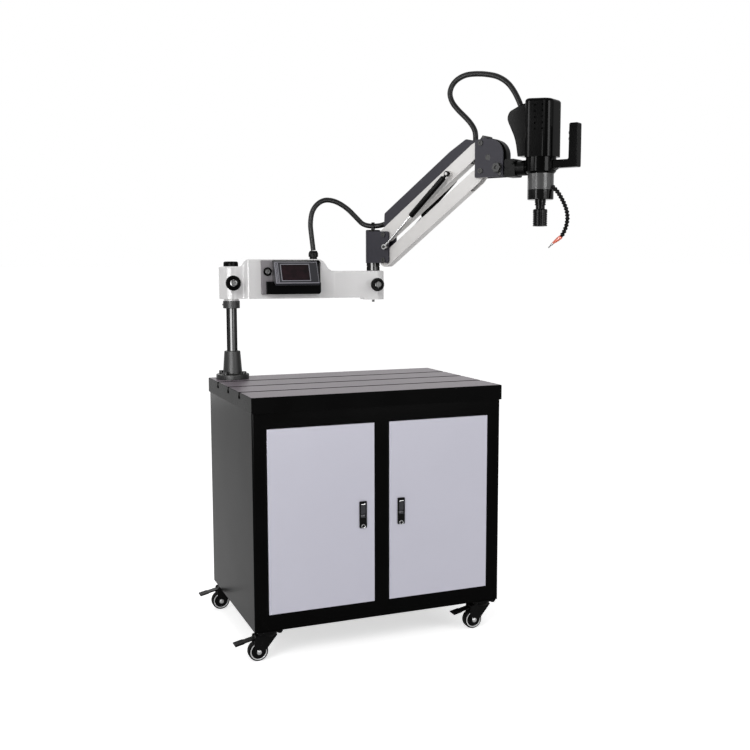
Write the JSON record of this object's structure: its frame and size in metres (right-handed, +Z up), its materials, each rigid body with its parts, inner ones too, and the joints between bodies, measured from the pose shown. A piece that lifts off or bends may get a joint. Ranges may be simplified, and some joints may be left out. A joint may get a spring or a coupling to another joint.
{
  "type": "machine_tool",
  "caption": "Arm tapping machine: T-slot table on a wheeled two-door cabinet, column, cast swivel arm with touch screen, gas-sprung parallel-link arm and tilting tapping head",
  "frame": {"origin": "on the floor under the middle of the table", "axes": "+X to the operator's right along the T-slots, +Y to the back, +Z up"},
  "size_m": [0.8786, 0.653, 1.5286],
  "materials": {
    "black_enamel": "satin",
    "door_enamel": "satin",
    "table_iron": "machined",
    "white_enamel": "gloss",
    "chrome": "polished",
    "zinc": "brushed",
    "slate_enamel": "satin",
    "link_enamel": "satin",
    "black_plastic": "gloss",
    "matte_black": "matte",
    "panel_grey": "satin",
    "glass": "gloss",
    "rubber": "matte",
    "orange": "satin",
    "steel": "satin",
    "black_cast": "satin"
  },
  "bodies": {
    "base": {"cabinet_carcass": "black_enamel", "t_slot_table": "table_iron", "column_flange": "black_enamel", "flange_bolts": "zinc", "column": "chrome", "column_collar": "slate_enamel", "caster_mounts": "zinc"},
    "left_door_leaf": {"left_door": "door_enamel", "left_lock_housing": "matte_black"},
    "right_door_leaf": {"right_door": "door_enamel", "right_lock_housing": "matte_black"},
    "left_lever": {"left_lock_lever": "matte_black"},
    "right_lever": {"right_lock_lever": "matte_black"},
    "first_arm": {"arm_casting": "white_enamel", "column_cap": "matte_black", "control_panel": "panel_grey", "screen_bezel": "panel_grey", "touch_screen": "glass", "cable_gland": "matte_black", "elbow_hose": "rubber"},
    "swivel_knob": {"swivel_lock_knob": "black_plastic"},
    "elbow_knob": {"elbow_lock_knob": "black_plastic"},
    "switch": {"power_switch": "chrome"},
    "elbow": {"elbow_post": "chrome", "elbow_bracket": "slate_enamel", "elbow_pins": "steel", "cover_hose": "rubber"},
    "upper_arm": {"upper_link": "link_enamel", "cable_cover": "slate_enamel"},
    "lower_arm": {"lower_link": "link_enamel"},
    "spring_rods": {"gas_spring_rods": "chrome"},
    "spring_cylinders": {"gas_spring_cylinders": "matte_black"},
    "wrist": {"wrist_bracket": "slate_enamel", "wrist_pins": "steel", "bow_hose": "rubber"},
    "tilt_knob": {"tilt_lock_knob": "steel"},
    "tilt": {"tilt_arm": "black_cast", "motor_hose": "rubber"},
    "head": {"head_clamp": "black_cast", "spindle_housing": "slate_enamel", "motor_covers": "black_plastic", "spindle_motor": "steel", "coolant_hose": "black_plastic", "coolant_nozzle": "orange"},
    "start": {"start_button": "matte_black"},
    "reverse": {"reverse_button": "matte_black"},
    "spindle_shaft": {"spindle": "steel"},
    "sleeve": {"chuck_sleeve": "black_plastic"},
    "caster_front_left": {"fork_front_left": "black_cast"},
    "roller_front_left": {"wheel_front_left": "rubber"},
    "brake_front_left": {"pedal_front_left": "black_cast"},
    "caster_front_right": {"fork_front_right": "black_cast"},
    "roller_front_right": {"wheel_front_right": "rubber"},
    "brake_front_right": {"pedal_front_right": "black_cast"},
    "caster_back_left": {"fork_back_left": "black_cast"},
    "roller_back_left": {"wheel_back_left": "rubber"},
    "brake_back_left": {"pedal_back_left": "black_cast"},
    "caster_back_right": {"fork_back_right": "black_cast"},
    "roller_back_right": {"wheel_back_right": "rubber"},
    "brake_back_right": {"pedal_back_right": "black_cast"}
  },
  "joints": [
    {"name": "swivel_front_left", "type": "hinge", "parent": "base", "child": "caster_front_left", "pos_m": [-0.308, -0.209, 0.07], "axis": [0, 0, 1], "continuous": true},
    {"name": "roll_front_left", "type": "hinge", "parent": "caster_front_left", "child": "roller_front_left", "pos_m": [-0.335, -0.209, 0.026], "axis": [0, 1, 0], "continuous": true},
    {"name": "brake_front_left", "type": "hinge", "parent": "caster_front_left", "child": "brake_front_left", "pos_m": [-0.339, -0.209, 0.0615], "axis": [0, -1, 0], "range_deg": [0, 7]},
    {"name": "swivel_front_right", "type": "hinge", "parent": "base", "child": "caster_front_right", "pos_m": [0.308, -0.209, 0.07], "axis": [0, 0, 1], "continuous": true},
    {"name": "roll_front_right", "type": "hinge", "parent": "caster_front_right", "child": "roller_front_right", "pos_m": [0.281, -0.209, 0.026], "axis": [0, 1, 0], "continuous": true},
    {"name": "brake_front_right", "type": "hinge", "parent": "caster_front_right", "child": "brake_front_right", "pos_m": [0.277, -0.209, 0.0615], "axis": [0, -1, 0], "range_deg": [0, 7]},
    {"name": "swivel_back_left", "type": "hinge", "parent": "base", "child": "caster_back_left", "pos_m": [-0.308, 0.209, 0.07], "axis": [0, 0, 1], "continuous": true},
    {"name": "roll_back_left", "type": "hinge", "parent": "caster_back_left", "child": "roller_back_left", "pos_m": [-0.335, 0.209, 0.026], "axis": [0, 1, 0], "continuous": true},
    {"name": "brake_back_left", "type": "hinge", "parent": "caster_back_left", "child": "brake_back_left", "pos_m": [-0.339, 0.209, 0.0615], "axis": [0, -1, 0], "range_deg": [0, 7]},
    {"name": "swivel_back_right", "type": "hinge", "parent": "base", "child": "caster_back_right", "pos_m": [0.308, 0.209, 0.07], "axis": [0, 0, 1], "continuous": true},
    {"name": "roll_back_right", "type": "hinge", "parent": "caster_back_right", "child": "roller_back_right", "pos_m": [0.281, 0.209, 0.026], "axis": [0, 1, 0], "continuous": true},
    {"name": "brake_back_right", "type": "hinge", "parent": "caster_back_right", "child": "brake_back_right", "pos_m": [0.277, 0.209, 0.0615], "axis": [0, -1, 0], "range_deg": [0, 7]},
    {"name": "left_door_swing", "type": "hinge", "parent": "base", "child": "left_door_leaf", "pos_m": [-0.306, -0.231, 0.36], "axis": [0, 0, -1], "range_deg": [0, 100]},
    {"name": "left_lever_pull", "type": "hinge", "parent": "left_door_leaf", "child": "left_lever", "pos_m": [-0.054, -0.236, 0.389], "axis": [-1, 0, 0], "range_deg": [0, 40]},
    {"name": "right_door_swing", "type": "hinge", "parent": "base", "child": "right_door_leaf", "pos_m": [0.306, -0.231, 0.36], "axis": [0, 0, 1], "range_deg": [0, 100]},
    {"name": "right_lever_pull", "type": "hinge", "parent": "right_door_leaf", "child": "right_lever", "pos_m": [0.054, -0.236, 0.389], "axis": [-1, 0, 0], "range_deg": [0, 40]},
    {"name": "arm_swivel", "type": "hinge", "parent": "base", "child": "first_arm", "pos_m": [-0.29, 0.192, 0.913], "axis": [0, 0, 1], "range_deg": [-165, 165]},
    {"name": "swivel_lock", "type": "hinge", "parent": "first_arm", "child": "swivel_knob", "pos_m": [-0.29566, 0.14232, 0.9585], "axis": [-0.1132, -0.9936, 0], "range_deg": [-180, 180]},
    {"name": "elbow_lock", "type": "hinge", "parent": "first_arm", "child": "elbow_knob", "pos_m": [0.12164, 0.09478, 0.951], "axis": [-0.1132, -0.9936, 0], "range_deg": [-180, 180]},
    {"name": "power_turn", "type": "hinge", "parent": "first_arm", "child": "switch", "pos_m": [-0.19928, 0.13134, 0.99], "axis": [-0.1132, -0.9936, 0], "range_deg": [-90, 0]},
    {"name": "elbow_swivel", "type": "hinge", "parent": "first_arm", "child": "elbow", "pos_m": [0.1273, 0.14446, 0.991], "axis": [0, 0, 1], "range_deg": [-65, 160], "deforming": ["elbow_hose"]},
    {"name": "lift", "type": "hinge", "parent": "elbow", "child": "upper_arm", "pos_m": [0.15539, 0.09951, 1.095], "axis": [-0.848, -0.5299, 0], "range_deg": [-45, 12], "deforming": ["cover_hose"]},
    {"name": "lower_link_turn", "type": "hinge", "parent": "elbow", "child": "lower_arm", "pos_m": [0.15539, 0.09951, 1.0216], "axis": [-0.848, -0.5299, 0], "range_deg": [-46, 13]},
    {"name": "wrist_level", "type": "hinge", "parent": "upper_arm", "child": "wrist", "pos_m": [0.32578, -0.17318, 1.33293], "axis": [-0.848, -0.5299, 0], "range_deg": [-13, 46]},
    {"name": "spring_rod_turn", "type": "hinge", "parent": "elbow", "child": "spring_rods", "pos_m": [0.16068, 0.09103, 1.06], "axis": [-0.848, -0.5299, 0], "range_deg": [-46, 13]},
    {"name": "spring_cylinder_turn", "type": "hinge", "parent": "upper_arm", "child": "spring_cylinders", "pos_m": [0.27274, -0.08829, 1.25637], "axis": [-0.848, -0.5299, 0], "range_deg": [-1, 2]},
    {"name": "head_tilt", "type": "hinge", "parent": "wrist", "child": "tilt", "pos_m": [0.33768, -0.19222, 1.294], "axis": [-0.848, -0.5299, 0], "range_deg": [0, 90], "deforming": ["bow_hose"]},
    {"name": "tilt_lock", "type": "hinge", "parent": "wrist", "child": "tilt_knob", "pos_m": [0.33545, -0.23017, 1.265], "axis": [-0.848, -0.5299, 0], "range_deg": [-120, 120]},
    {"name": "head_roll", "type": "hinge", "parent": "tilt", "child": "head", "pos_m": [0.39385, -0.28211, 1.262], "axis": [0.5299, -0.848, 0], "range_deg": [-90, 90], "deforming": ["motor_hose"]},
    {"name": "start_press", "type": "slide", "parent": "head", "child": "start", "axis": [0.5299, -0.848, 0], "range_m": [0, 0.003], "stiffness_N_per_m": 300, "springref_m": -0.0005},
    {"name": "reverse_press", "type": "slide", "parent": "head", "child": "reverse", "axis": [0.5299, -0.848, 0], "range_m": [0, 0.003], "stiffness_N_per_m": 300, "springref_m": -0.0005},
    {"name": "spindle_turn", "type": "hinge", "parent": "head", "child": "spindle_shaft", "pos_m": [0.41531, -0.31646, 1.177], "axis": [0, 0, -1], "continuous": true},
    {"name": "sleeve_lift", "type": "slide", "parent": "spindle_shaft", "child": "sleeve", "axis": [0, 0, 1], "range_m": [0, 0.008], "stiffness_N_per_m": 400, "springref_m": -0.002}
  ],
  "couplings": [
    {"joint": "lower_link_turn", "follows": "lift", "ratio": 1},
    {"joint": "wrist_level", "follows": "lift", "ratio": -1},
    {"joint": "spring_rod_turn", "follows": "lift", "ratio": 0.977},
    {"joint": "spring_cylinder_turn", "follows": "lift", "ratio": -0.024}
  ]
}
